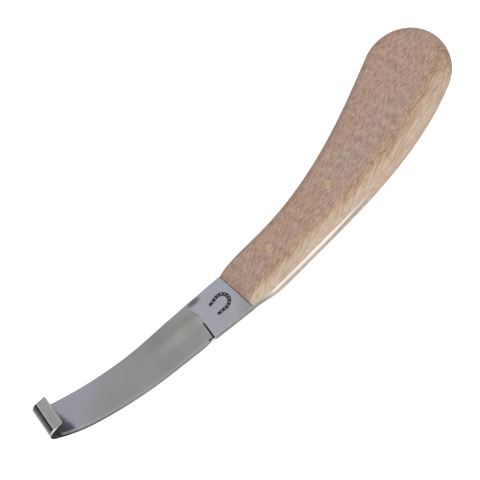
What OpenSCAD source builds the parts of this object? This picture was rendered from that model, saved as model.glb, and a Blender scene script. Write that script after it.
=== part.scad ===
// Farrier's hoof knife: a steel blade with a rolled hook, its tang riveted into a saw slot
// in a curved wooden handle.
// +X runs along the neck towards the hook, +Y towards the convex edge, +Z up to the hook's side.
// The handle's flat back lies on z = 0, and the origin is under the middle of the whole knife.

/* [Handle] */
// Length of the centre line, from the front of the wood to the middle of the round butt
spine_l = 107; // [95:1:125]
// Half width at the front end
front_half = 10; // [10:0.1:11]
// Half width of the grip
grip_half = 10.9; // [10.4:0.1:13]
// Radius of the round butt
butt_r = 17.6; // [15:0.1:20]
// Thickness between the two flat faces
handle_t = 15; // [12:0.5:18]
// Thickness at the front end
lip_t = 4.8; // [4:0.1:7]
// Length over which the faces curve down to the front end
ramp_l = 15; // [12:1:17]
// Width of the edge rounding, in from the outline
round_w = 5.8; // [3:0.1:6.5]
// Turn of the centre line that is spread evenly, in degrees
even_turn = 18.5; // [10:0.5:25]
// Turn of the centre line that grows towards the butt, in degrees
late_turn = 11; // [5:1:15]
// Angle by which the front end is cut off square, in degrees
front_skew = 10; // [0:1:15]

/* [Blade] */
// Width at the neck
blade_w = 20; // [16:0.5:20]
// Thickness of the neck and tang
blade_t = 2.5; // [2:0.1:3]
// Thickness of the ground part and the hook
ground_t = 1.6; // [1.4:0.1:1.9]
// Distance from the wood to the shoulder where the ground part starts
shoulder_x = 16.5; // [12:0.5:20]
// Length of the flat part, from the wood to the bend
flat_l = 38; // [26:0.5:40]
// Radius of the long upward bend, at the underside
bend_r = 100; // [80:1:160]
// Turn of the long bend, in degrees
bend_turn = 28.4; // [20:0.2:32]
// How far the concave edge has come in at the hook
back_taper = 1.9; // [0:0.1:3]
// How far the convex edge has come in at the hook
edge_taper = 2.3; // [0:0.1:4]
// Length of the quicker taper of the convex edge before the hook
nose_l = 15; // [10:1:25]
// How much that quicker taper takes off
nose_taper = 1.3; // [0:0.1:2]

/* [Hook] */
// Outer radius of the roll
hook_r = 3.1; // [3:0.1:4]
// Turn of the roll, in degrees
hook_turn = 150; // [140:1:160]
// Length of the flat flap after the roll
flap_l = 4.4; // [4:0.1:6]
// How far the flap's convex side has slanted in at its free corner
flap_taper = 1.5; // [0:0.1:2]

/* [Tang and rivets] */
// Length of the tang along the handle's centre line
tang_l = 57; // [55:1:70]
// Half width of the tang where it enters the wood, on the concave side
tang_front_half = 9; // [8:0.1:9.4]
// Half width of the tang at its rear end, on the concave side
tang_end_half = 4; // [3:0.5:8]
// Diameter of the rivets
rivet_d = 4; // [3:0.5:5]
// Distance of the front rivet along the centre line
rivet_front = 20.5; // [18:0.5:30]
// Distance of the rear rivet along the centre line
rivet_rear = 52.5; // [45:0.5:52.5]

/* [Hidden] */

start_turn = 2.5;      // direction of the centre line at the wood's front, in degrees
spine_step = 0.5;      // step of the sum that draws the centre line
flare_l = 12;          // the front's narrowing blends into the grip over this length
swell_from = 22.5;     // where the grip starts to widen towards the butt
overrun = 5;           // how far the raw wood runs past the front cut
stations = 27;         // stations of the wood's mesh along the centre line
cap_steps = 20;        // steps of the wood's mesh round the butt
round_steps = 6;       // steps of the edge rounding, from the outline to a flat face
plane_off = 0.05;      // how much planing takes off each face of the raw wood
tang_lap = 3;          // how far the tang's outline runs on inside the neck
shoulder_r = 21;       // radius of the shoulder's curved half
shoulder_bend_y = 1.5; // where the shoulder's straight half meets its curved half
neck_lap = 5;          // how far the ground strip runs on inside the thicker neck
bend_steps = 24;       // steps of the long bend
roll_steps = 26;       // steps of the roll
far = 60;              // reach of cutting shapes
arc_fn = 180;

// A smooth step from 0 to 1
function clamp01(t) = min(1, max(0, t));
function blend(t) = let (c = clamp01(t)) c * c * (3 - 2 * c);

// Direction of the handle's centre line at distance s, in degrees from -X towards -Y
function turn_at(s) =
    let (t = clamp01(s / spine_l)) start_turn + even_turn * t + late_turn * t * t;
function ahead(a) = [-cos(a), -sin(a)];
function across(a) = [-sin(a), cos(a)];

// The centre line as points, every spine_step
spine = [for (i = 0, p = [0, 0]; i <= spine_l / spine_step;
              p = p + spine_step * ahead(turn_at((i + 0.5) * spine_step)), i = i + 1) p];
function spine_at(s) =
    s <= 0 ? s * ahead(start_turn)
    : let (k = min(s / spine_step, len(spine) - 1), i = min(floor(k), len(spine) - 2))
      spine[i] + (k - i) * (spine[i + 1] - spine[i]);

// Half width of the wood, and points at its edges: side is 1 on the convex edge, -1 on the other
function half_width(s) =
    grip_half + (butt_r - grip_half) * blend((s - swell_from) / (spine_l - swell_from))
    - (grip_half - front_half) * (1 - blend(s / flare_l));
function beside(s, offset) = spine_at(s) + offset * across(turn_at(s));
function edge_point(s, side, inset) = beside(s, side * (half_width(s) - inset));

// The wood's outline, moved in by inset: convex edge, butt, then back along the concave edge
function station_s(i) = -overrun + i * (spine_l + overrun) / stations;
butt = spine_at(spine_l);
butt_turn = turn_at(spine_l);
function outline(inset) = concat(
    [for (i = [0:stations - 1]) edge_point(station_s(i), 1, inset)],
    [for (k = [0:cap_steps])
        let (a = 90 - 180 * k / cap_steps)
        butt + (butt_r - inset) * (cos(a) * ahead(butt_turn) + sin(a) * across(butt_turn))],
    [for (i = [stations - 1:-1:0]) edge_point(station_s(i), -1, inset)]);

// Blade edges at distance l along the underside, and the x that l reaches
blade_l = flat_l + bend_r * bend_turn * PI / 180;
function blade_x(l) =
    l <= flat_l ? l : flat_l + bend_r * sin((l - flat_l) / bend_r * 180 / PI);
function back_y(l) = -blade_w / 2 + back_taper * clamp01(l / blade_l);
function edge_y(l) = blade_w / 2 - edge_taper * clamp01(l / blade_l)
    - nose_taper * pow(clamp01((l - blade_l + nose_l) / nose_l), 2);

// The blade from its side: centres of the long bend and of the roll, and a line through both
// that runs at height t above the underside, from the neck to the end of the flap
function on_arc(centre, r, a) = centre + r * [sin(a), -cos(a)];
long_centre = [flat_l, bend_r - blade_t / 2];
roll_centre = on_arc(long_centre, bend_r - hook_r, bend_turn);
full_turn = bend_turn + hook_turn;
function side_line(t) = concat(
    [[shoulder_x - neck_lap, t - blade_t / 2]],
    [for (i = [0:bend_steps]) on_arc(long_centre, bend_r - t, bend_turn * i / bend_steps)],
    [for (i = [1:roll_steps])
        on_arc(roll_centre, hook_r - t, bend_turn + hook_turn * i / roll_steps)],
    [on_arc(roll_centre, hook_r - t, full_turn) + flap_l * [cos(full_turn), sin(full_turn)]]);

// The frame: where the neck's middle stands when the origin is under the middle of the knife
plan = outline(0);
hook_reach = roll_centre[0] + hook_r;
flap_x = (on_arc(roll_centre, hook_r, full_turn) + flap_l * [cos(full_turn), sin(full_turn)])[0];
low_x = butt[0] - butt_r;
low_y = butt[1] - butt_r;
high_y = max([for (p = plan) p[1]]);
neck_at = [-(low_x + hook_reach) / 2, -(low_y + high_y) / 2, handle_t / 2];

// The raw wood, before its faces are planed flat: every edge is rounded to a quarter ellipse.
// Outline points i and n - 1 - i face each other across the handle.
module rounded_wood() {
    n = len(plan);
    levels = 2 * round_steps;
    raw_half = handle_t / 2 + plane_off;
    points = [for (k = [0:levels])
        let (a = -90 + 180 * k / levels)
        for (p = outline(round_w * (1 - cos(a)))) [p[0], p[1], raw_half * sin(a)]];
    sides = [for (k = [0:levels - 1]) for (i = [0:n - 1])
        let (j = (i + 1) % n)
        [k * n + i, k * n + j, (k + 1) * n + j, (k + 1) * n + i]];
    middle = (n - 1) / 2;
    bottom = [for (i = [0:middle - 1])
        i + 1 < middle ? [n - 1 - i, n - 2 - i, i + 1, i] : [n - 1 - i, middle, i]];
    top = [for (i = [0:middle - 1])
        let (z = levels * n)
        i + 1 < middle ? [z + i, z + i + 1, z + n - 2 - i, z + n - 1 - i]
        : [z + i, z + middle, z + n - 1 - i]];
    polyhedron(points, concat(sides, bottom, top));
}

// The handle seen from its side: each flat face curves down to the front end as an arc
module side_profile() {
    drop = (handle_t - lip_t) / 2;
    ramp_r = (ramp_l * ramp_l + drop * drop) / (2 * drop);
    translate([-3 * far, -handle_t / 2]) square([3 * far - ramp_l, handle_t]);
    translate([-ramp_l, 0]) intersection() {
        translate([0, handle_t / 2 - ramp_r]) circle(ramp_r, $fn = arc_fn);
        translate([0, ramp_r - handle_t / 2]) circle(ramp_r, $fn = arc_fn);
    }
}

// The tang in plan: its convex edge is flush with the wood, and the other one narrows evenly
// to the square rear end. In front it runs on a little, inside the neck.
module tang_outline() {
    steps = 24;
    polygon(concat(
        [for (i = [0:steps]) edge_point(tang_l * i / steps, 1, 0)],
        [beside(tang_l, -tang_end_half), beside(-tang_lap, -tang_front_half),
         beside(-tang_lap, tang_front_half)]));
}

// The saw slot follows the tang, and is open at the front and on the convex edge
module kerf_outline() {
    polygon([beside(-overrun, -tang_front_half), beside(-tang_lap, -tang_front_half),
             beside(tang_l, -tang_end_half), beside(tang_l, far), beside(-overrun, far)]);
}

module at_rivets() {
    for (s = [rivet_front, rivet_rear]) translate(spine_at(s)) children();
}

module rivet(s) {
    color([0.72, 0.65, 0.52])
    translate(neck_at) translate(spine_at(s))
        cylinder(d = rivet_d, h = handle_t, center = true, $fn = 48);
}

// Everything behind the front cut of the wood, in plan
module behind_front_cut() {
    rotate(front_skew) translate([-2 * far, -2 * far]) square([2 * far, 4 * far]);
}

// The blade in plan, from inside the wood to past the hook
module blade_outline() {
    steps = 16;
    back = [for (i = [0:steps]) let (l = blade_l * i / steps) [blade_x(l), back_y(l)]];
    edge = [for (i = [steps:-1:0]) let (l = blade_l * i / steps) [blade_x(l), edge_y(l)]];
    polygon(concat([[-overrun, -blade_w / 2]], back,
        [[hook_reach + far, back_y(blade_l)], [hook_reach + far, edge_y(blade_l)]],
        edge, [[-overrun, blade_w / 2]]));
}

// The shoulder in plan: straight across from the convex edge, then curving towards the hook
module ground_area() {
    translate([shoulder_x, shoulder_bend_y]) square(3 * far);
    translate([shoulder_x + shoulder_r, shoulder_bend_y]) circle(shoulder_r, $fn = arc_fn);
    translate([shoulder_x + shoulder_r, -far]) square([3 * far, 2 * far]);
}

// What is cut off the convex side above the roll's middle, from the roll's inner face to
// the flap's free corner
module flap_slant() {
    start = [hook_reach - ground_t, edge_y(blade_l)];
    corner = [flap_x, edge_y(blade_l) - flap_taper];
    translate([0, 0, roll_centre[1]]) linear_extrude(far)
        polygon([start, [start[0], far], [2 * corner[0] - start[0], far], 2 * corner - start]);
}

// The ground blade, the roll and the flap: one strip of even thickness
module ground_strip() {
    under = side_line(0);
    over = side_line(ground_t);
    difference() {
        intersection() {
            rotate([90, 0, 0]) linear_extrude(2 * far, center = true)
                polygon(concat(under, [for (i = [len(over) - 1:-1:0]) over[i]]));
            linear_extrude(2 * far, center = true) blade_outline();
        }
        flap_slant();
    }
}

module handle() {
    color([0.68, 0.57, 0.49])
    translate(neck_at) difference() {
        intersection() {
            rounded_wood();
            rotate([90, 0, 0]) linear_extrude(4 * far, center = true) side_profile();
        }
        linear_extrude(2 * far, center = true) difference() {
            translate([-far, -far]) square(3 * far);
            behind_front_cut();
        }
        linear_extrude(blade_t, center = true) kerf_outline();
        at_rivets() cylinder(d = rivet_d, h = 2 * handle_t, center = true, $fn = 48);
    }
}

module blade() {
    color([0.62, 0.62, 0.62])
    translate(neck_at) difference() {
        union() {
            linear_extrude(blade_t, center = true) {
                tang_outline();
                difference() {
                    blade_outline();
                    behind_front_cut();
                    ground_area();
                }
            }
            ground_strip();
        }
        at_rivets() cylinder(d = rivet_d, h = 2 * blade_t, center = true, $fn = 48);
    }
}

module front_rivet() { rivet(rivet_front); }
module rear_rivet() { rivet(rivet_rear); }

handle();
blade();
front_rivet();
rear_rivet();
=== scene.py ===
"""The looks of the farrier's hoof knife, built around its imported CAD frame.

Lengths are in millimetres until a mesh is made, and then in metres, in the row frame.
The outline formulas are those of part.scad, in its local frame: the origin is where the middle
of the neck meets the wood, +X runs to the hook, +Y to the convex edge and +Z to the hook's side.
"""

import math

import bmesh
import bpy
import numpy as np
from mathutils import Matrix, Vector


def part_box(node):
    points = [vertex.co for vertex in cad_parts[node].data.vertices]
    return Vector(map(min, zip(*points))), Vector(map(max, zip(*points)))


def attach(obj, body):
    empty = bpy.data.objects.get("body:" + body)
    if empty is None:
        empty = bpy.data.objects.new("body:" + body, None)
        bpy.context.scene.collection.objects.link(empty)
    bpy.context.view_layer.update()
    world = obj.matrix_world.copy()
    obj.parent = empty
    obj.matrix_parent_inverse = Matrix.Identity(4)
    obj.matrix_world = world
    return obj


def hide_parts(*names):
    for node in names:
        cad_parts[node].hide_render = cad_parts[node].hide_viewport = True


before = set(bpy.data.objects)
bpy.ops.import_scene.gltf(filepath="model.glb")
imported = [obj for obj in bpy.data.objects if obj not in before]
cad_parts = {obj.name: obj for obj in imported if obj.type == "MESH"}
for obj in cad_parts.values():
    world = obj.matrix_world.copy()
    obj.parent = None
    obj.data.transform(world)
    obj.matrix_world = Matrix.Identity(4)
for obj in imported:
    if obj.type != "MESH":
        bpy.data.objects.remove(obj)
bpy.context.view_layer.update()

MM = 0.001

# The handle
SPINE_L, SPINE_STEP = 107.0, 0.5
FRONT_HALF, GRIP_HALF, BUTT_R = 10.0, 10.9, 17.6
HANDLE_T, LIP_T, RAMP_L, ROUND_W = 15.0, 4.8, 15.0, 5.8
START_TURN, EVEN_TURN, LATE_TURN, FRONT_SKEW = 2.5, 18.5, 11.0, 10.0
SWELL_FROM, FLARE_L, PLANE_OFF = 22.5, 12.0, 0.05
# The blade
BLADE_W, BLADE_T, GROUND_T = 20.0, 2.5, 1.6
SHOULDER_X, SHOULDER_R, SHOULDER_BEND_Y = 16.5, 21.0, 1.5
FLAT_L, BEND_R, BEND_TURN = 38.0, 100.0, 28.4
BACK_TAPER, EDGE_TAPER, NOSE_L, NOSE_TAPER = 1.9, 2.3, 15.0, 1.3
HOOK_R, HOOK_TURN, FLAP_L, FLAP_TAPER = 3.1, 150.0, 4.4, 1.5
# The tang and the rivets
TANG_L, TANG_LAP, TANG_FRONT_HALF, TANG_END_HALF = 57.0, 3.0, 9.0, 4.0
RIVET_D, RIVET_FRONT, RIVET_REAR = 4.0, 20.5, 52.5


def blend(t):
    """A smooth step from 0 to 1."""
    c = min(1.0, max(0.0, t))
    return c * c * (3 - 2 * c)


def mix(a, b, t):
    return a + (b - a) * t


# ---------------------------------------------------------------- the handle's outline

def turn_at(s):
    t = min(1.0, max(0.0, s / SPINE_L))
    return math.radians(START_TURN + EVEN_TURN * t + LATE_TURN * t * t)


def ahead(a):
    return np.array([-math.cos(a), -math.sin(a)])


def across(a):
    return np.array([-math.sin(a), math.cos(a)])


SPINE = [np.zeros(2)]
for step in range(int(SPINE_L / SPINE_STEP)):
    SPINE.append(SPINE[-1] + SPINE_STEP * ahead(turn_at((step + 0.5) * SPINE_STEP)))


def spine_at(s):
    if s <= 0:
        return s * ahead(turn_at(0))
    k = min(s / SPINE_STEP, len(SPINE) - 1)
    i = min(int(k), len(SPINE) - 2)
    return SPINE[i] + (k - i) * (SPINE[i + 1] - SPINE[i])


def half_width(s):
    swell = blend((s - SWELL_FROM) / (SPINE_L - SWELL_FROM))
    return (GRIP_HALF + (BUTT_R - GRIP_HALF) * swell
            - (GRIP_HALF - FRONT_HALF) * (1 - blend(s / FLARE_L)))


def beside(s, offset):
    return spine_at(s) + offset * across(turn_at(s))


# Where the local frame's origin stands in the row frame, in metres
rivet_low, rivet_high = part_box("front_rivet")
rivet_xy = spine_at(RIVET_FRONT) * MM
ORIGIN = (rivet_low + rivet_high) / 2 - Vector((rivet_xy[0], rivet_xy[1], 0))


# ---------------------------------------------------------------- mesh helpers

def make_object(name, points, faces, face_slots=None, sharp=30):
    """A mesh piece from points in millimetres in the local frame."""
    mesh = bpy.data.meshes.new(name)
    mesh.from_pydata([Vector(p) * MM + ORIGIN for p in points], [], faces)
    if face_slots is not None:
        mesh.polygons.foreach_set("material_index", face_slots)
    bm = bmesh.new()
    bm.from_mesh(mesh)
    bmesh.ops.remove_doubles(bm, verts=bm.verts, dist=1e-3 * MM)
    bmesh.ops.dissolve_degenerate(bm, edges=bm.edges, dist=1e-3 * MM)
    bmesh.ops.recalc_face_normals(bm, faces=bm.faces)
    bm.to_mesh(mesh)
    bm.free()
    mesh.shade_smooth()
    mesh.set_sharp_from_angle(angle=math.radians(sharp))
    obj = bpy.data.objects.new(name, mesh)
    bpy.context.scene.collection.objects.link(obj)
    return obj


def strip(rows, slots=None):
    """Quads between neighbouring rows, each a closed loop of point numbers."""
    faces, marks = [], []
    for k in range(len(rows) - 1):
        a, b = rows[k], rows[k + 1]
        n = len(a)
        for j in range(n):
            faces.append((a[j], a[(j + 1) % n], b[(j + 1) % n], b[j]))
            marks.append(slots[k][j] if slots else 0)
    return faces, marks


# ---------------------------------------------------------------- the handle

RAW_HALF = HANDLE_T / 2 + PLANE_OFF
SLOT_GAP = 0.06                 # between the tang and either wall of the saw slot
LIP_Z = BLADE_T / 2 + SLOT_GAP
DROP = (HANDLE_T - LIP_T) / 2
RAMP_R = (RAMP_L ** 2 + DROP ** 2) / (2 * DROP)
SKEW_FADE = 30.0                # rows lie square to the centre line from here on
# The ridges between sides and faces are eased by EASE_FRONT at the front, growing to the others
# over EASE_L
EASE_FRONT, EASE_CONVEX, EASE_CONCAVE, EASE_L = 0.25, 1.2, 0.4, 35.0
FRONT_EASE = 0.12               # how far the rim of the front cut is eased
LIP_RECESS, RECESS_L = 1.1, 14.0    # the slot's lower lip is sanded back next to the neck
SIDE_STEPS, EASE_STEPS, FACE_STEPS, CAP_STEPS = 9, 4, 12, 26


def face_height(x):
    """Height of the planed face above the middle plane: it curves down to the front."""
    reach = max(0.0, x + RAMP_L)
    return HANDLE_T / 2 - RAMP_R + math.sqrt(RAMP_R ** 2 - reach ** 2)


def place(row, side, inset):
    """A point of the plan at a row: ("s", distance from the front) or ("cap", angle)."""
    kind, value = row
    if kind == "cap":
        a = turn_at(SPINE_L)
        return SPINE[-1] + (BUTT_R - inset) * (
            math.cos(value) * ahead(a) + side * math.sin(value) * across(a))
    lean = math.tan(math.radians(FRONT_SKEW - START_TURN)) * max(0.0, 1 - value / SKEW_FADE) ** 2
    s = value
    for _ in range(3):
        s = value + side * (half_width(s) - inset) * lean
    return beside(s, side * (half_width(s) - inset))


def half_section(row, side, shrink, recess=0.0):
    """Points (x, y, z) from low on one side, up its rounding and onto the upper face, on a
    section that is smaller by shrink all round and by recess at the side."""
    top = RAW_HALF
    for _ in range(4):
        level = math.asin(min(1.0, (top - shrink) / RAW_HALF))
        inset = ROUND_W * (1 - math.cos(level)) + recess
        top = min(face_height(place(row, side, inset)[0]), RAW_HALF)
    kind, value = row
    low = math.asin(LIP_Z / RAW_HALF) if side > 0 else 0.0
    full = EASE_CONVEX if side > 0 else EASE_CONCAVE
    if kind == "s":
        soft = mix(EASE_FRONT, full, blend(value / EASE_L))
    else:                           # the two sides meet at the butt's tip
        soft = mix(EASE_CONVEX, full, math.sin(value))
        low *= math.sin(value)
    speed = math.hypot(ROUND_W * math.sin(level), RAW_HALF * math.cos(level))
    eased = max(level - soft / speed, low + 0.02)

    def at(a):
        return np.array([ROUND_W * (1 - math.cos(a)) + shrink + recess, RAW_HALF * math.sin(a)])

    section = [at(low + (eased - low) * k / SIDE_STEPS) for k in range(SIDE_STEPS + 1)]
    corner, start = at(level), section[-1]
    inset = corner[0] + soft
    inner = np.array([inset, face_height(place(row, side, inset)[0]) - shrink])
    for k in range(1, EASE_STEPS + 1):
        u = k / EASE_STEPS
        section.append((1 - u) ** 2 * start + 2 * u * (1 - u) * corner + u * u * inner)
    return [np.array([*place(row, side, p[0]), p[1]]) for p in section]


def half_loop(row, shrink, recess):
    """Points from the convex side over the upper face to the middle of the concave side."""
    near = half_section(row, 1, shrink, recess)
    far = half_section(row, -1, shrink)
    a, b = near[-1], far[-1]
    face = []
    for k in range(1, FACE_STEPS):
        p = mix(a, b, k / FACE_STEPS)
        face.append(np.array([p[0], p[1], min(face_height(p[0]), HANDLE_T / 2) - shrink]))
    return near + face + far[::-1]


def handle_loop(row, shrink=0.0):
    """One closed cross-section of the wood, from the slot's upper lip round to its lower lip."""
    recess = LIP_RECESS * (1 - blend(row[1] / RECESS_L)) if row[0] == "s" else 0.0
    mirror = np.array([1, 1, -1])
    return (half_loop(row, shrink, 0.0)
            + [p * mirror for p in half_loop(row, shrink, recess)[-2::-1]])


def cross(p, q, a, b):
    """Where the plan line p-q meets the plan line a-b."""
    d, e = q - p, b - a
    t = ((a[0] - p[0]) * e[1] - (a[1] - p[1]) * e[0]) / (d[0] * e[1] - d[1] * e[0])
    return p + t * d


SLOT_A, SLOT_B = beside(-TANG_LAP, -TANG_FRONT_HALF), beside(TANG_L, -TANG_END_HALF)


def build_handle():
    stations = [0.0, 0.15, 0.5] + [1.0 + k for k in range(int(TANG_L))]
    stations += [TANG_L + 1 + 1.5 * k for k in range(int((SPINE_L - TANG_L - 1) / 1.5) + 1)]
    rows = [("s", s) for s in stations if s < SPINE_L]
    rows += [("cap", math.pi / 2 * (1 - k / CAP_STEPS)) for k in range(CAP_STEPS + 1)]
    points, faces, previous = [], [], None
    for row in rows:
        loop = handle_loop(row, 0.0 if previous else FRONT_EASE)
        if row[0] == "s" and row[1] <= TANG_L:
            wall = cross(loop[0][:2], loop[len(loop) // 2][:2], SLOT_A, SLOT_B)
            loop += [np.array([*wall, -LIP_Z]), np.array([*wall, LIP_Z])]
        ids = list(range(len(points), len(points) + len(loop)))
        points += loop
        if previous is None:
            faces.append(tuple(ids))
        else:
            if len(previous) > len(ids):    # the slot ends: its rear wall
                faces.append((previous[0], previous[-1], previous[-2], previous[-3]))
                previous = previous[:-2]
            faces += strip([previous, ids])[0]
        previous = ids
    return make_object("handle_wood", points, faces)


# ---------------------------------------------------------------- the blade

BEND = math.radians(BEND_TURN)
BLADE_L = FLAT_L + BEND_R * BEND
ROLL_L = HOOK_R * math.radians(HOOK_TURN)
LONG_CENTRE = np.array([FLAT_L, BEND_R - BLADE_T / 2])


def on_arc(centre, radius, a):
    return centre + radius * np.array([math.sin(a), -math.cos(a)])


ROLL_CENTRE = on_arc(LONG_CENTRE, BEND_R - HOOK_R, BEND)


def side_point(l, h):
    """(x, z) at distance l along the strip's underside and height h above it."""
    if l <= FLAT_L:
        return np.array([l, h - BLADE_T / 2])
    if l <= BLADE_L:
        return on_arc(LONG_CENTRE, BEND_R - h, (l - FLAT_L) / BEND_R)
    if l <= BLADE_L + ROLL_L:
        return on_arc(ROLL_CENTRE, HOOK_R - h, BEND + (l - BLADE_L) / HOOK_R)
    a = BEND + math.radians(HOOK_TURN)
    return (on_arc(ROLL_CENTRE, HOOK_R - h, a)
            + (l - BLADE_L - ROLL_L) * np.array([math.cos(a), math.sin(a)]))


def plan_l(l):
    """The distance at which the plan outline has the width that the strip has at l."""
    if l <= BLADE_L:
        return l
    x = side_point(l, 0)[0]
    reach = min(1.0, max(0.0, (x - FLAT_L) / BEND_R))
    return min(BLADE_L, FLAT_L + BEND_R * math.asin(reach))


def back_y(l):
    return -BLADE_W / 2 + BACK_TAPER * min(1.0, max(0.0, l / BLADE_L))


def edge_y(l):
    nose = min(1.0, max(0.0, (l - BLADE_L + NOSE_L) / NOSE_L))
    return BLADE_W / 2 - EDGE_TAPER * min(1.0, max(0.0, l / BLADE_L)) - NOSE_TAPER * nose ** 2


HOOK_REACH, FLAP_X = ROLL_CENTRE[0] + HOOK_R, side_point(BLADE_L + ROLL_L + FLAP_L, 0)[0]


def slant(l):
    """How far the convex side has come in on the upper half of the roll and on the flap."""
    if l < BLADE_L + HOOK_R * (math.pi / 2 - BEND):
        return 0.0
    start = HOOK_REACH - GROUND_T
    return FLAP_TAPER * max(0.0, (start - side_point(l, 0)[0]) / (start - FLAP_X))


def shoulder_at(y):
    """Where the ground part starts: straight across, then curving towards the hook."""
    if y >= SHOULDER_BEND_Y:
        return SHOULDER_X
    return SHOULDER_X + SHOULDER_R - math.sqrt(SHOULDER_R ** 2 - (SHOULDER_BEND_Y - y) ** 2)


# The plunge cut is steep along the straight part of the shoulder, where it takes the whole depth
# over STEEP_L near the curve and over STEEP_EDGE_L at the convex edge. Along the curve it is
# gentle: it takes only GENTLE_STEP of the depth, over GENTLE_L, and the rest comes by SETTLE_L.
STEEP_L, STEEP_EDGE_L, GENTLE_L, GENTLE_STEP, SETTLE_L = 0.25, 0.9, 1.6, 0.04, 34.0
# The flap is thinned from the inside, from this share of the roll to this share of the flap
THINNED, THIN_FROM, THIN_TO = 1.2, 0.62, 0.7


def strip_top(l, y):
    """Height of the upper face above the underside."""
    past = l - shoulder_at(y)
    if past <= 0:
        return BLADE_T
    cut = BLADE_T - GROUND_T
    loose = blend((SHOULDER_BEND_Y + 1.5 - y) / 7)
    step = cut * mix(1.0, GENTLE_STEP, loose)
    steep = mix(STEEP_L, STEEP_EDGE_L, blend((y - SHOULDER_BEND_Y) / 8.5))
    u = max(0.0, 1 - past / mix(steep, GENTLE_L, loose))
    shape = mix(1 - math.sqrt(1 - u * u), u * u, loose)
    thin_l = THIN_TO * FLAP_L + (1 - THIN_FROM) * ROLL_L
    thinned = THINNED * blend((l - BLADE_L - THIN_FROM * ROLL_L) / thin_l)
    return BLADE_T - step * (1 - shape) - (cut - step) * blend(past / SETTLE_L) - thinned


# The blade's material slots. The dark sides of the plunge cut are painted shade, and the bright
# lower arris of the roll and the flap is a painted highlight
NECK, GROUND, ROLL, FLAP, RIM, ARRIS, PLUNGE_SHADE, TANG_RIM, INSIDE = range(9)
# Points across the strip, and rows along its parts
LATERAL, NECK_ROWS, GROUND_ROWS, ROLL_ROWS, FLAP_ROWS = 24, 22, 58, 36, 8
# How far the arrises are eased: on the neck, on the blade, and at the flap's free end
NECK_EASE, BLADE_EASE, TIP_EASE = 0.06, 0.12, 0.05
# (width, depth) of the upper bevel along the convex edge, at the shoulder and further on, and
# the size of the roll's lower arris
BEVEL_START, BEVEL, ROLL_ARRIS = (0.5, 0.4), (1.0, 0.16), 0.34
NOTCH, END_L = 0.4, 0.3         # cut back past the shoulder, and the flap's rounded end
CROWN, CROWN_STEPS = 0.13, 8    # of the tang's visible edge
TANG_GAP = 0.05                 # between the tang and the slot's rear and inner walls


def section_marks(under, upper, plunge=0, low_edge=RIM):
    """Material slot of each side of a cross-section loop: underside, the convex rim's lower
    edge and the rim, upper face with the first sides in the plunge cut, back."""
    # The first sides in the plunge cut take the dark material, a painted shade
    top = [PLUNGE_SHADE] * plunge + [upper] * (LATERAL + 1 - plunge)
    return [under] * LATERAL + [low_edge, RIM] + top + [RIM] * 3


def notch(l):
    """How far the convex edge is ground back, just past the shoulder."""
    return NOTCH * blend(l - SHOULDER_X) * (1 - blend((l - SHOULDER_X - 1) / 6))


def strip_loop(l_of, ease, bevel, arris=None):
    """A closed cross-section whose points lie at distance l_of(y) along the strip. ease is how
    far the back's arrises are eased, bevel = (width, depth) that of the convex edge's upper
    arris and arris the size of its lower one."""
    def place_row(w):
        """(l, y), for w from 0 at the back to 1 at the convex edge"""
        l = l_of(mix(back_y(0), edge_y(0), w))
        at = plan_l(l)
        y = mix(back_y(at), edge_y(at) - notch(l) - slant(l), w)
        return l_of(y), y

    def point(w, height=None):
        l, y = place_row(w)
        h = strip_top(l, y) if height is None else height(strip_top(l, y))
        x, z = side_point(l, h)
        return (x, y, z)

    width = place_row(1)[1] - place_row(0)[1]
    arris = ease if arris is None else arris
    first, last = ease / width, 1 - bevel[0] / width
    loop = [point(mix(first, 1 - arris / width, k / LATERAL), lambda top: 0.0)
            for k in range(LATERAL + 1)]
    loop.append(point(1, lambda top: arris))
    loop.append(point(1, lambda top: top - bevel[1]))
    loop += [point(mix(last, first, k / LATERAL)) for k in range(LATERAL + 1)]
    loop.append(point(0, lambda top: top - ease))
    loop.append(point(0, lambda top: ease))
    return loop


def tang_sections():
    """(loop, marks) from the tang's square rear end to the front cut. The tang's edge follows
    the wood's rounding."""
    half = BLADE_T / 2
    marks = [INSIDE] * LATERAL + [TANG_RIM] * CROWN_STEPS + [INSIDE] * (LATERAL + 1)
    sections = []
    for k in range(int(TANG_L) + 1):
        row = ("s", max(0.0, TANG_L - TANG_GAP - k))
        outer = place(row, 1, 0.0)
        inner = cross(outer, place(row, -1, 0.0), SLOT_A, SLOT_B)
        unit = (inner - outer) / np.linalg.norm(inner - outer)
        inner, rim = inner - TANG_GAP * unit, outer + unit * CROWN
        loop = [(*mix(inner, rim, j / LATERAL), -half) for j in range(LATERAL + 1)]
        for j in range(1, CROWN_STEPS):
            z = 2 * j / CROWN_STEPS - 1
            loop.append((*(outer + unit * (CROWN * z * z)), z * half))
        loop += [(*mix(rim, inner, j / LATERAL), half) for j in range(LATERAL + 1)]
        sections.append((loop, marks))
    return sections


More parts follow.
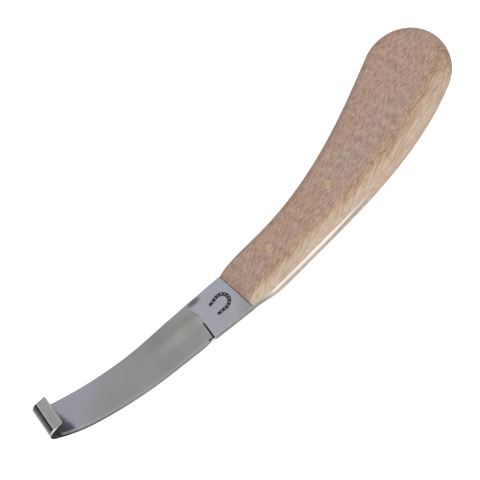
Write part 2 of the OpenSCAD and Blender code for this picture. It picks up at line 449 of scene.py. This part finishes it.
def blade_sections():
    """(loop, marks) from the neck's rear face to the last full section of the flap."""
    sections = []

    # The neck, from the front cut to the shoulder
    cut = -math.tan(math.radians(FRONT_SKEW))
    for k in range(NECK_ROWS + 1):
        t = k / NECK_ROWS
        loop = strip_loop(lambda y: mix(cut * y + 0.02, shoulder_at(y), t),
                          NECK_EASE, (NECK_EASE, NECK_EASE))
        sections.append((loop, section_marks(NECK, NECK)))

    # The ground blade. Its rows follow the shoulder closely at first, and from 15 mm past it
    # they lie straight across.
    offsets = [0.02, 0.06, 0.12, 0.2, 0.3, 0.45, 0.6, 0.8, 1.0, 1.3, 1.7, 2.2, 2.8, 3.4, 4.0, 5.0]
    rest = BLADE_L - SHOULDER_X - offsets[-1]
    offsets += [offsets[-1] + rest * k / GROUND_ROWS for k in range(1, GROUND_ROWS + 1)]
    for d in offsets:
        lean = 1 - blend(d / 15)
        grown, even = blend((d - 0.1) / 0.8), blend((d - 0.8) / 3)
        bevel = [mix(NECK_EASE, mix(a, b, even), grown) for a, b in zip(BEVEL_START, BEVEL)]
        loop = strip_loop(lambda y: SHOULDER_X + d + (shoulder_at(y) - SHOULDER_X) * lean,
                          BLADE_EASE, bevel)
        # Painted shade: dark are the steep cut's 11 sides from the bevel on, and then only the
        # first of them
        plunge = 11 if d < 0.85 else 1 if d < 3.0 else 0
        sections.append((loop, section_marks(GROUND, GROUND, plunge)))

    # The roll. The bevel runs out in its first third, and past its middle the lower arris grows
    # and is painted bright, as a highlight.
    for k in range(1, ROLL_ROWS + 1):
        l = BLADE_L + ROLL_L * k / ROLL_ROWS
        bevel = [mix(BLADE_EASE, size, 1 - blend(k / 12)) for size in BEVEL]
        arris = mix(BLADE_EASE, ROLL_ARRIS, blend((k - 18) / 10))
        loop = strip_loop(lambda y: l, BLADE_EASE, bevel, arris)
        sections.append((loop, section_marks(ROLL, GROUND, low_edge=ARRIS if k > 20 else RIM)))

    # The flap, which has thinner arrises towards its free end
    for k in range(1, FLAP_ROWS + 1):
        l = BLADE_L + ROLL_L + (FLAP_L - END_L) * k / FLAP_ROWS
        thin = mix(BLADE_EASE, TIP_EASE, k / FLAP_ROWS)
        arris = mix(ROLL_ARRIS, TIP_EASE, blend(k / 4))
        loop = strip_loop(lambda y: l, thin, (thin, thin), arris)
        # Painted highlight: the bright arris material on the flap's first rows
        sections.append((loop, section_marks(ARRIS if k == 1 else FLAP, GROUND,
                                             low_edge=ARRIS if k < 4 else FLAP)))
    return sections


def end_sections(loop):
    """(loop, marks) of the flap's rounded free end, past its last full section: each is further
    out, flatter by a share and narrower by a length on either side."""
    end = [np.array(p) for p in loop]
    a = BEND + math.radians(HOOK_TURN)
    tangent = np.array([math.cos(a), 0, math.sin(a)])
    normal = np.array([-math.sin(a), 0, math.cos(a)])
    middle = sum(end) / len(end)
    sections = []
    for out, flatter, narrower in ((0.2, 0.1, 0.072), (END_L, 0.28, 0.2016)):
        smaller = []
        for p in end:
            q = p + tangent * out - normal * ((p - middle) @ normal) * flatter
            aside = q[1] - middle[1]
            q[1] -= math.copysign(min(abs(aside), narrower), aside)
            smaller.append(tuple(q))
        sections.append((smaller, section_marks(FLAP, GROUND)))
    return sections


def build_blade():
    tang, blade = tang_sections(), blade_sections()
    blade += end_sections(blade[-1][0])
    points, rows, marks = [], [], []
    for loop, loop_marks in tang + blade:
        rows.append(list(range(len(points), len(points) + len(loop))))
        points += loop
        marks.append(loop_marks)
    # Tang and blade have different sections. The tang's front closes just inside the neck's
    # rear face, and they meet there.
    cut = len(tang)
    faces, slots = strip(rows[:cut], marks[1:cut])
    more_faces, more_slots = strip(rows[cut:], marks[cut + 1:])
    faces += more_faces + [tuple(rows[k]) for k in (0, cut - 1, cut, -1)]
    slots += more_slots + [INSIDE, INSIDE, INSIDE, FLAP]
    return make_object("blade_steel", points, faces, slots, sharp=24)


# ---------------------------------------------------------------- the rivets

AROUND, HOLE_GAP = 64, 0.02     # points round a rivet, and the air round it in its hole


def ring(s, radius):
    """Plan points of a circle round the centre line's point at s."""
    x0, y0 = spine_at(s)
    return [(x0 + radius * math.cos(2 * math.pi * k / AROUND),
             y0 + radius * math.sin(2 * math.pi * k / AROUND)) for k in range(AROUND)]


def rivet_profile(radius):
    """(radius, height) from the middle of the head outwards: a flush, faintly crowned head."""
    half = HANDLE_T / 2
    profile = [(radius * k / 6, half + 0.015 - 0.03 * (k / 6) ** 2) for k in range(6)]
    return profile + [(radius - 0.12, half - 0.03), (radius - 0.03, half - 0.08),
                      (radius, half - 0.2)]


def build_rivet(name, s):
    profile = rivet_profile(RIVET_D / 2)
    profile += [(r, -z) for r, z in reversed(profile[1:])]
    points = [(*spine_at(s), profile[0][1])]
    for r, z in profile[1:]:
        points += [(x, y, z) for x, y in ring(s, r)]
    points.append((*spine_at(s), -profile[0][1]))
    last = len(points) - 1
    rows = [list(range(i, i + AROUND)) for i in range(1, last, AROUND)]
    faces = [(0, rows[0][k], rows[0][(k + 1) % AROUND]) for k in range(AROUND)]
    faces += strip(rows)[0]
    faces += [(last, rows[-1][(k + 1) % AROUND], rows[-1][k]) for k in range(AROUND)]
    return make_object(name, points, faces, sharp=40)


def drill(obj):
    """Cuts the two rivet holes through obj."""
    cutters = []
    for s in (RIVET_FRONT, RIVET_REAR):
        points = [(x, y, z) for z in (-HANDLE_T, HANDLE_T)
                  for x, y in ring(s, RIVET_D / 2 + HOLE_GAP)]
        low, high = list(range(AROUND)), list(range(AROUND, 2 * AROUND))
        faces = strip([low, high])[0] + [tuple(low[::-1]), tuple(high)]
        cutters.append(make_object("cutter", points, faces))
    for cutter in cutters:
        cut = obj.modifiers.new("hole", "BOOLEAN")
        cut.operation, cut.solver, cut.object = "DIFFERENCE", "EXACT", cutter
    depsgraph = bpy.context.evaluated_depsgraph_get()
    mesh = bpy.data.meshes.new_from_object(obj.evaluated_get(depsgraph))
    obj.modifiers.clear()
    old, obj.data = obj.data, mesh
    bpy.data.meshes.remove(old)
    mesh.name = obj.name
    mesh.set_sharp_from_angle(angle=math.radians(30))
    for cutter in cutters:
        data = cutter.data
        bpy.data.objects.remove(cutter)
        bpy.data.meshes.remove(data)


# ---------------------------------------------------------------- materials

class Nodes:
    """Builds a node tree with short calls. Every value may be a number, a tuple or a socket."""

    def __init__(self, tree):
        self.tree = tree
        tree.nodes.clear()

    def new(self, kind, **settings):
        node = self.tree.nodes.new(kind)
        for key, value in settings.items():
            setattr(node, key, value)
        return node

    def put(self, socket, value):
        if isinstance(value, bpy.types.NodeSocket):
            self.tree.links.new(value, socket)
        else:
            if isinstance(value, tuple) and len(value) == 3 and len(socket.default_value) == 4:
                value = (*value, 1.0)
            socket.default_value = value

    def math(self, operation, a, b=0.0, c=0.0):
        node = self.new("ShaderNodeMath", operation=operation)
        for socket, value in zip(node.inputs, (a, b, c)):
            self.put(socket, value)
        return node.outputs[0]

    def vector(self, operation, a, b=(0, 0, 0)):
        node = self.new("ShaderNodeVectorMath", operation=operation)
        self.put(node.inputs[0], a)
        self.put(node.inputs[1], b)
        return node.outputs["Value" if operation in ("DOT_PRODUCT", "LENGTH") else "Vector"]

    def ramp(self, value, low, high, out_low=0.0, out_high=1.0):
        """A smooth step of value from low to high."""
        node = self.new("ShaderNodeMapRange", interpolation_type="SMOOTHSTEP")
        for socket, v in zip(node.inputs, (value, low, high, out_low, out_high)):
            self.put(socket, v)
        return node.outputs[0]

    def mix(self, factor, a, b):
        node = self.new("ShaderNodeMix", data_type="RGBA")
        self.put(node.inputs[0], factor)
        self.put(node.inputs[6], a)
        self.put(node.inputs[7], b)
        return node.outputs[2]

    def coordinates(self, output="Object"):
        return self.new("ShaderNodeTexCoord").outputs[output]

    def noise(self, vector, scale=1.0, detail=2.0, roughness=0.5):
        node = self.new("ShaderNodeTexNoise")
        self.put(node.inputs["Vector"], vector)
        for name, value in (("Scale", scale), ("Detail", detail), ("Roughness", roughness)):
            node.inputs[name].default_value = value
        return node.outputs[0]

    def cells(self, vector):
        """(distance to the nearest cell's point, a random number of that cell), in a plane"""
        node = self.new("ShaderNodeTexVoronoi", voronoi_dimensions="2D")
        self.put(node.inputs["Vector"], vector)
        node.inputs["Scale"].default_value = 1.0
        node.inputs["Randomness"].default_value = 1.0
        split = self.new("ShaderNodeSeparateColor")
        self.put(split.inputs[0], node.outputs["Color"])
        return node.outputs["Distance"], split.outputs[0]

    def bump(self, height, distance, strength):
        node = self.new("ShaderNodeBump")
        node.inputs["Strength"].default_value = strength
        node.inputs["Distance"].default_value = distance
        self.put(node.inputs["Height"], height)
        return node.outputs[0]

    def surface(self, **values):
        shader = self.new("ShaderNodeBsdfPrincipled")
        for key, value in values.items():
            self.put(shader.inputs[key.replace("_", " ")], value)
        out = self.new("ShaderNodeOutputMaterial")
        self.tree.links.new(shader.outputs[0], out.inputs[0])


def material(name):
    mat = bpy.data.materials.new(name)
    mat.use_nodes = True
    return mat, Nodes(mat.node_tree)


def srgb(r, g, b):
    """Linear colour of 8-bit sRGB numbers."""
    return tuple(c / 12.92 if c <= 0.04045 else ((c + 0.055) / 1.055) ** 2.4
                 for c in (r / 255, g / 255, b / 255))


# The grain runs straight through the curved handle
GRAIN = Vector((-0.929, -0.370, 0)).normalized()
GRAIN_SIDE = Vector((-GRAIN.y, GRAIN.x, 0))


def grain_space(n, coordinates, along, sideways, deep, edgewise=False):
    """Coordinates along the grain, across it and in depth, in units of the given lengths.
    edgewise swaps the last two, for a pattern drawn on the sides."""
    axes = [(GRAIN, along), (GRAIN_SIDE, sideways), (Vector((0, 0, 1)), deep)]
    if edgewise:
        axes[1], axes[2] = axes[2], axes[1]
    parts = [n.vector("DOT_PRODUCT", coordinates, tuple(axis / (size * MM)))
             for axis, size in axes]
    node = n.new("ShaderNodeCombineXYZ")
    for socket, part in zip(node.inputs, parts):
        n.put(socket, part)
    return node.outputs[0]


def beech():
    """Plain sanded steamed beech: pinkish brown, with short dark ray flecks along the grain."""
    mat, n = material("beech")
    co = n.coordinates()
    split = n.new("ShaderNodeSeparateXYZ")
    n.put(split.inputs[0], n.coordinates("Normal"))
    toward = split.outputs[1]       # 1 on the convex side, 0 on the faces, -1 on the concave side

    # The grain wanders sideways a little
    wander = n.noise(grain_space(n, co, 30, 12, 12), detail=1.0)
    wander = n.math("MULTIPLY", n.math("SUBTRACT", wander, 0.5), 1.3 * MM)
    shift = n.vector("SCALE", tuple(GRAIN_SIDE))
    n.put(shift.node.inputs["Scale"], wander)
    warped = n.vector("ADD", co, shift)

    # Broad colours of the faces and the convex side, with an ochre streak along the ridge
    # between them
    streaks = n.noise(grain_space(n, warped, 20, 0.5, 1.6), detail=3.0, roughness=0.65)
    broad = n.noise(grain_space(n, warped, 55, 7, 9), detail=2.0)
    tint = n.noise(grain_space(n, warped, 34, 9, 12), detail=1.0)
    feather = n.math("MULTIPLY_ADD", n.math("SUBTRACT", streaks, 0.5), 0.6, toward)
    face = n.mix(n.ramp(streaks, 0.3, 0.7), srgb(173, 144, 129), srgb(186, 158, 143))
    face = n.mix(n.ramp(broad, 0.45, 0.68, 0, 0.55), face, srgb(184, 148, 124))
    face = n.mix(n.ramp(tint, 0.5, 0.3, 0, 0.4), face, srgb(176, 160, 148))
    side = n.mix(n.ramp(streaks, 0.3, 0.7), srgb(170, 148, 129), srgb(190, 172, 154))
    ochre = n.mix(n.ramp(streaks, 0.35, 0.65), srgb(152, 117, 86), srgb(184, 156, 126))
    color = n.mix(n.ramp(feather, 0.4, 0.82), face, side)
    ridge = n.math("MULTIPLY", n.ramp(feather, 0.04, 0.34), n.ramp(feather, 0.95, 0.5))
    color = n.mix(n.math("MULTIPLY", ridge, n.ramp(broad, 0.3, 0.55, 0.35, 0.9)), color, ochre)

    # A fine hatch, weaker on the sides
    height = n.math("MULTIPLY", streaks, 0.25)
    edge_on = n.ramp(n.math("ABSOLUTE", toward), 0.45, 0.7)
    face_on = n.math("SUBTRACT", 1.0, n.math("MULTIPLY", edge_on, 0.75))
    hatch = n.noise(grain_space(n, warped, 1.9, 0.34, 0.34), detail=0.0)
    dark, light = n.ramp(hatch, 0.5, 0.72, 0, 0.42), n.ramp(hatch, 0.48, 0.28, 0, 0.25)
    color = n.mix(n.math("MULTIPLY", dark, face_on), color, srgb(112, 84, 68))
    color = n.mix(n.math("MULTIPLY", light, face_on), color, srgb(214, 190, 174))

    # Two sizes of ray flecks, each drawn once for the faces and once for the sides
    fleck_r = 0.27
    for along, wide, low, shade, side_shade in (
            (6.4, 0.52, 0.15, srgb(108, 78, 62), srgb(152, 126, 104)),
            (4.6, 0.42, 0.1, srgb(112, 82, 67), srgb(158, 134, 112))):
        for edgewise in (False, True):
            distance, chance = n.cells(grain_space(n, warped, along, wide, wide, edgewise))
            dash = n.ramp(distance, fleck_r, fleck_r * 0.35)
            dash = n.math("MULTIPLY", dash, n.ramp(chance, low, 1.0, 0.1, 0.9))
            where = edge_on if edgewise else n.math("SUBTRACT", 1.0, edge_on)
            dash = n.math("MULTIPLY", dash, where)
            color = n.mix(dash, color, side_shade if edgewise else shade)
            height = n.math("SUBTRACT", height, n.math("MULTIPLY", dash, 0.5))

    # A little painted shade along the front cut, in the joint with the neck
    skew = math.radians(FRONT_SKEW)
    front = Vector((math.cos(skew), math.sin(skew), 0))
    ahead_of = n.math("SUBTRACT", n.vector("DOT_PRODUCT", co, tuple(front)), front.dot(ORIGIN))
    joint_shade = n.ramp(ahead_of, -0.55 * MM, -0.1 * MM, 0.0, 0.7)
    color = n.mix(joint_shade, color, srgb(96, 74, 60))
    gloss = n.ramp(streaks, 0.2, 0.8, 0.62, 0.5)
    n.surface(Base_Color=color, Roughness=gloss, Specular_IOR_Level=0.5,
              Normal=n.bump(height, 0.03 * MM, 0.5))
    return mat


def horseshoe(n, co, centre, size, heading):
    """A mask in the shape of a small horseshoe with nail holes, on the neck's upper face. size
    is its outer radius or so, and heading the direction of its toe."""
    rise = Vector((math.cos(heading), math.sin(heading), 0))
    wide = Vector((-rise.y, rise.x, 0))
    middle = Vector((*centre, 0)) * MM + ORIGIN
    v, h = (n.math("SUBTRACT", n.vector("DOT_PRODUCT", co, tuple(axis)), middle.dot(axis))
            for axis in (rise, wide))
    v, h = (n.math("DIVIDE", c, size * MM) for c in (v, h))
    # Round in the toe, and below it two legs that close in a little
    squeeze = n.math("MULTIPLY_ADD", n.math("MINIMUM", v, 0.0), 0.16, 1.0)
    radius = n.math("SQRT", n.math(
        "ADD", n.math("POWER", n.math("DIVIDE", h, squeeze), 2.0),
        n.math("POWER", n.math("MAXIMUM", v, 0.0), 2.0)))
    off_line = n.math("ABSOLUTE", n.math("SUBTRACT", radius, 0.8))
    band = n.ramp(off_line, 0.215, 0.175)
    band = n.math("MULTIPLY", band, n.ramp(v, -1.06, -1.02))
    wave = n.math("ABSOLUTE", n.math("SINE", n.math("MULTIPLY", n.math("ARCTAN2", v, h), 7.0)))
    hole = n.math("MULTIPLY", n.ramp(off_line, 0.075, 0.05), n.ramp(wave, 0.8, 0.9))
    return n.math("MULTIPLY", band, n.math("SUBTRACT", 1.0, hole))


def local_x(n, co, slope=0.0):
    """x + slope * y in the local frame, in mm."""
    axis = Vector((1.0, slope, 0.0))
    return n.math("SUBTRACT", n.vector("DOT_PRODUCT", co, tuple(axis / MM)), axis.dot(ORIGIN) / MM)


def tone_and_glint(n, co, centre, size, color, tint, strength):
    """color, changed softly to tint round a point of the local frame: for tone patches, and for a
    painted glint.
    """
    there = n.vector("SUBTRACT", co, tuple(Vector(centre) * MM + ORIGIN))
    there = n.vector("MULTIPLY", there, tuple(1 / (length * MM) for length in size))
    streaky = n.noise(n.vector("MULTIPLY", co, (300.0, 1400.0, 300.0)), detail=2.0)
    far_off = n.math("ADD", n.vector("LENGTH", there), n.math("MULTIPLY", streaky, 0.5))
    return n.mix(n.ramp(far_off, 1.25, 0.45, 0, strength), color, tint)


def steel(name, low, high, rough, lines=(60, 0.12, 60), depth=0.004, smear=None, finish_and_painted_light=None):
    """Fine ground stainless steel, from colour low to high and with patches of smear. lines are
    the grinding lines' lengths in X, Y and Z; finish(n, co, color, roughness) gives the last
    two anew, and the metallic share."""
    mat, n = material(name)
    co = n.coordinates()
    scaled = n.vector("MULTIPLY", co, tuple(1 / (size * MM) for size in lines))
    fine = n.noise(scaled, detail=3.0, roughness=0.7)
    cloud = n.noise(co, scale=1 / (9 * MM), detail=2.0)
    color = n.mix(n.ramp(cloud, 0.3, 0.7), low, high)
    if smear:
        patch = n.noise(co, scale=1 / (22 * MM), detail=1.0)
        color = n.mix(n.ramp(patch, 0.5, 0.72, 0, 0.5), color, smear)
    roughness = n.math("ADD", n.ramp(fine, 0.25, 0.75, rough - 0.04, rough + 0.05),
                       n.ramp(cloud, 0.35, 0.7, 0, 0.04))
    metallic = 1.0
    # The finish function adds marks and tones, and on some parts painted shade, reflections and
    # glints
    if finish_and_painted_light:
        color, roughness, metallic = finish_and_painted_light(n, co, color, roughness)
    n.surface(Base_Color=color, Metallic=metallic, Roughness=roughness,
              Normal=n.bump(fine, depth * MM, 0.6))
    return mat


def neck_finish(n, co, color, roughness):
    """The etched mark, a greener and a bluer tone towards the wood, and a dark smear at the back
    edge."""
    color = tone_and_glint(n, co, (15.5, -8.2, 1.2), (4.4, 1.9, 3), color, srgb(116, 108, 122), 0.85)
    color = n.mix(n.ramp(local_x(n, co, -1.0), 0, -9, 0, 0.85), color, srgb(189, 190, 184))
    color = n.mix(n.ramp(local_x(n, co, 1.2), 3, -8, 0, 0.8), color, srgb(204, 207, 216))
    stamp = horseshoe(n, co, (6.7, -0.4), 4.0, math.radians(188))
    return (n.mix(stamp, color, srgb(28, 28, 30)),
            n.math("MAXIMUM", roughness, n.math("MULTIPLY", stamp, 0.7)),
            n.math("SUBTRACT", 1.0, n.math("MULTIPLY", stamp, 0.85)))


def ground_tones_and_hook_shade(n, co, color, roughness):
    """A greyer patch past the shoulder, cooler tones towards the hook, and painted shadow and
    dark reflection inside the hook, lighter on the bevel along the convex edge."""
    color = tone_and_glint(n, co, (21.5, -0.5, 1.2), (6.5, 8.0, 4), color, srgb(166, 168, 162), 0.8)
    color = n.mix(n.ramp(local_x(n, co), 20, 38, 0, 0.55), color, srgb(172, 174, 170))
    color = n.mix(n.ramp(local_x(n, co, -0.8), 60, 76), color, srgb(194, 194, 204))
    # Painted shadow and dark reflection of the flap: the hook is dark from a slanting, streaky
    # line on, and less so on the bevel before the roll
    streaky = n.noise(n.vector("MULTIPLY", co, (250.0, 1500.0, 250.0)), detail=3.0)
    inward = n.math("MULTIPLY_ADD", n.math("SUBTRACT", streaky, 0.5), 3.0, local_x(n, co, 0.27))
    off_bevel = n.ramp(local_x(n, co, 5.88), 118.0, 116.4, 0.3, 1.0)
    in_roll = n.ramp(local_x(n, co), 82.6, 84.0)
    hook_shade_mask = n.math("MAXIMUM", off_bevel, in_roll)
    for start, end, shade in ((78.4, 81.0, srgb(100, 102, 116)), (81.0, 83.0, srgb(84, 84, 92))):
        color = n.mix(n.math("MULTIPLY", hook_shade_mask, n.ramp(inward, start, end)), color, shade)
    return color, roughness, 1.0


def rim_tones_shade_and_glint(n, co, color, roughness):
    """The blade's rim is darker towards the hook, in painted shade inside it, and has a painted
    highlight at the shoulder.
    """
    color = n.mix(n.ramp(local_x(n, co), 17, 30, 0, 0.4), color, srgb(132, 133, 126))
    color = n.mix(n.ramp(local_x(n, co), 50, 80, 0, 0.85), color, srgb(84, 84, 78))
    # Painted shade inside the hook
    color = n.mix(n.ramp(local_x(n, co), 80.4, 82.0, 0, 0.9), color, srgb(50, 50, 48))
    # Painted highlight: a white glint on the rim's corner at the shoulder
    color = tone_and_glint(n, co, (17.6, 9.6, 0.0), (1.7, 3.0, 1.3), color, srgb(254, 254, 252), 1.0)
    return color, roughness, 1.0


def tang_rim_reflection(n, co, color, roughness):
    """The tang's edge has a painted reflection: it is darker next to the neck, and low down
    towards its rear end.
    """
    along = local_x(n, co)
    # Painted reflection: greyer next to the neck
    color = n.mix(n.ramp(along, -15, -4), color, srgb(150, 152, 142))
    # Painted reflection: bright above a line that rises towards the rear end
    height = n.math("SUBTRACT", n.vector("DOT_PRODUCT", co, (0, 0, 1 / MM)), ORIGIN.z / MM)
    shine = n.math("ADD", n.math("MULTIPLY_ADD", along, 0.16, 7.71), height)
    color = n.mix(n.ramp(shine, 0.3, -0.3), color, srgb(202, 188, 176))
    return color, roughness, 1.0


def brass():
    """Dull brass, sanded flush with the wood along the grain."""
    mat, n = material("rivet_brass")
    co = n.coordinates()
    fine = n.noise(grain_space(n, co, 12, 0.12, 0.5), detail=3.0, roughness=0.7)
    cloud = n.noise(co, scale=1 / (1.6 * MM), detail=2.0)
    color = n.mix(n.ramp(cloud, 0.3, 0.7), srgb(202, 177, 146), srgb(222, 199, 169))
    n.surface(Base_Color=color, Metallic=0.75, Roughness=n.ramp(fine, 0.2, 0.8, 0.42, 0.6),
              Normal=n.bump(fine, 0.01 * MM, 0.6))
    return mat


# ---------------------------------------------------------------- pieces

handle = build_handle()
drill(handle)
blade = build_blade()
front_rivet = build_rivet("front_rivet_brass", RIVET_FRONT)
rear_rivet = build_rivet("rear_rivet_brass", RIVET_REAR)

handle.data.materials.clear()
handle.data.materials.append(beech())
# In the order of the slot numbers, NECK to INSIDE
for slot_steel in (
        steel("neck_steel", srgb(204, 204, 211), srgb(211, 211, 216), 0.22, depth=0.0015,
              smear=srgb(190, 198, 206), finish_and_painted_light=neck_finish),
        steel("ground_steel", srgb(182, 184, 179), srgb(192, 193, 190), 0.2, depth=0.0015,
              smear=srgb(192, 192, 200), finish_and_painted_light=ground_tones_and_hook_shade),
        steel("roll_steel", srgb(184, 184, 184), srgb(202, 202, 202), 0.07,
              lines=(0.3, 40, 0.3), depth=0.003),
        steel("flap_steel", srgb(200, 200, 195), srgb(210, 210, 206), 0.16, depth=0.0015),
        steel("rim_steel", srgb(138, 139, 133), srgb(150, 150, 146), 0.34, finish_and_painted_light=rim_tones_shade_and_glint),
        # Painted highlight: the bright steel of the lower arris
        steel("arris_highlight_steel", srgb(226, 226, 222), srgb(238, 238, 234), 0.3),
        # Painted shade: the dark steel of the plunge cut's sides
        steel("plunge_shade_steel", srgb(58, 58, 56), srgb(72, 72, 70), 0.22),
        steel("tang_rim_steel", srgb(222, 219, 211), srgb(240, 238, 232), 0.22,
              lines=(0.25, 30, 30), depth=0.008, finish_and_painted_light=tang_rim_reflection),
        steel("inside_steel", srgb(120, 120, 120), srgb(140, 140, 140), 0.45)):
    blade.data.materials.append(slot_steel)
rivet_metal = brass()
for rivet in (front_rivet, rear_rivet):
    rivet.data.materials.append(rivet_metal)

for piece, node, slot in ((handle, "handle", "beech"), (blade, "blade", "blade_steel"),
                          (front_rivet, "front_rivet", "rivet_brass"),
                          (rear_rivet, "rear_rivet", "rivet_brass")):
    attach(piece, "root")
    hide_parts(node)


# ---------------------------------------------------------------- camera

# Distance, the width of view there, and how far the aim lies from the local frame's origin
# along the picture's own axes
DISTANCE, VIEW_W, SENSOR = 1200.0, 180.343, 36.0
AIM_RIGHT, AIM_UP = 1.127, 19.763
to_camera = Vector((-0.0701, 0.5410, 0.8381)).normalized()
right = Vector((-0.7696, 0.5052, -0.3905))
right = (right - right.dot(to_camera) * to_camera).normalized()
up = to_camera.cross(right)
stand = ORIGIN + to_camera * DISTANCE * MM
aim = (-to_camera * DISTANCE + right * AIM_RIGHT + up * AIM_UP).normalized()
side_axis = aim.cross(up).normalized()
up_axis = side_axis.cross(aim)
camera = bpy.data.objects.new("camera", bpy.data.cameras.new("camera"))
camera.data.lens = SENSOR * DISTANCE / VIEW_W
camera.data.sensor_width = SENSOR
camera.data.clip_start, camera.data.clip_end = 0.01, 50
camera.matrix_world = Matrix.Translation(stand) @ Matrix(
    (side_axis, up_axis, -aim)).transposed().to_4x4()
bpy.context.scene.collection.objects.link(camera)
bpy.context.scene.camera = camera


# ---------------------------------------------------------------- floor, lights and surroundings

def area_light(name, direction, distance, size, power, color=(1, 1, 1)):
    """A softbox that faces the knife from the given direction, in metres and watts. Metal
    mirrors the surroundings below, and not the softboxes."""
    data = bpy.data.lights.new(name, "AREA")
    data.shape, data.size, data.energy, data.color = "DISK", size, power, color
    light = bpy.data.objects.new(name, data)
    direction = Vector(direction).normalized()
    light.location = direction * distance
    light.rotation_euler = direction.to_track_quat("Z", "Y").to_euler()
    light.visible_glossy = False
    bpy.context.scene.collection.objects.link(light)


area_light("key", (0.15, 0.95, 0.32), 1.3, 0.7, 4.6, (1.0, 0.985, 0.965))
area_light("top", (-0.2, 0.1, 1.0), 1.5, 1.0, 2.0)
area_light("fill", (-0.45, -0.75, 0.55), 1.5, 0.9, 3.5)

FLOOR_HALF, FLOOR_GAP = 4000.0, 0.05
floor = make_object("floor", [(x * FLOOR_HALF, y * FLOOR_HALF, -ORIGIN.z / MM - FLOOR_GAP)
                              for x, y in ((-1, -1), (1, -1), (1, 1), (-1, 1))], [(0, 1, 2, 3)])
floor_material, n = material("floor")
grain = n.noise(n.coordinates(), scale=3.0, detail=1.0)
n.surface(Base_Color=n.mix(grain, (0.86, 0.86, 0.86), (0.9, 0.9, 0.9)), Roughness=0.9,
          Emission_Color=(1.0, 1.0, 1.0), Emission_Strength=0.7)
floor.data.materials.append(floor_material)
floor.visible_glossy = False
floor.visible_diffuse = False

world = bpy.data.worlds.new("studio")
bpy.context.scene.world = world
world.use_nodes = True
n = Nodes(world.node_tree)
direction = n.vector("NORMALIZE", n.coordinates("Generated"))


def lobe(base, axis, inner, outer, color):
    """base, changed to color within inner degrees of an axis and left alone beyond outer. The
    axes are in the row frame."""
    near = n.vector("DOT_PRODUCT", direction, tuple(Vector(axis).normalized()))
    weight = n.ramp(near, math.cos(math.radians(outer)), math.cos(math.radians(inner)))
    return n.mix(weight, base, color)


axes = n.new("ShaderNodeSeparateXYZ")
n.put(axes.inputs[0], direction)
sky_x, sky_y, sky_z = axes.outputs
# A grey room: dark low down on the concave side, paler above, and palest on the convex side
sky = lobe((0.50, 0.50, 0.50), (0, -0.7, -0.7), 25, 45, (0.28, 0.28, 0.28))
sky = lobe(sky, (0, -0.54, 0.84), 5, 50, (0.58, 0.58, 0.60))
sky = n.mix(n.ramp(sky_y, -0.47, -0.30), sky, (0.72, 0.72, 0.72))
# Past the hook, on the concave side, it fades from pale below to dark above, with a black spot
corner = n.math("MULTIPLY", n.ramp(sky_x, 0.19, 0.26), n.ramp(sky_y, -0.40, -0.48))
sky = n.mix(corner, sky, n.ramp(sky_z, -0.6, 0.5, 0.7, 0.14))
sky = lobe(sky, (0.36, -0.54, 0.76), 6.5, 9, (0.0, 0.0, 0.0))
# Two bright areas on the convex side, for the edges that face it
sky = lobe(sky, (0.1, 0.95, 0.3), 20, 55, (1.4, 1.38, 1.35))
sky = lobe(sky, (-0.12, 0.83, -0.55), 21, 32, (1.24, 1.23, 1.21))
background = n.new("ShaderNodeBackground")
n.put(background.inputs[0], sky)
backdrop = n.new("ShaderNodeBackground")
backdrop.inputs[0].default_value = (1, 1, 1, 1)
seen = n.new("ShaderNodeLightPath").outputs["Is Camera Ray"]
choose = n.new("ShaderNodeMixShader")
n.put(choose.inputs[0], seen)
world.node_tree.links.new(background.outputs[0], choose.inputs[1])
world.node_tree.links.new(backdrop.outputs[0], choose.inputs[2])
world_out = n.new("ShaderNodeOutputWorld")
world.node_tree.links.new(choose.outputs[0], world_out.inputs[0])

bpy.context.scene.view_settings.view_transform = "Standard"
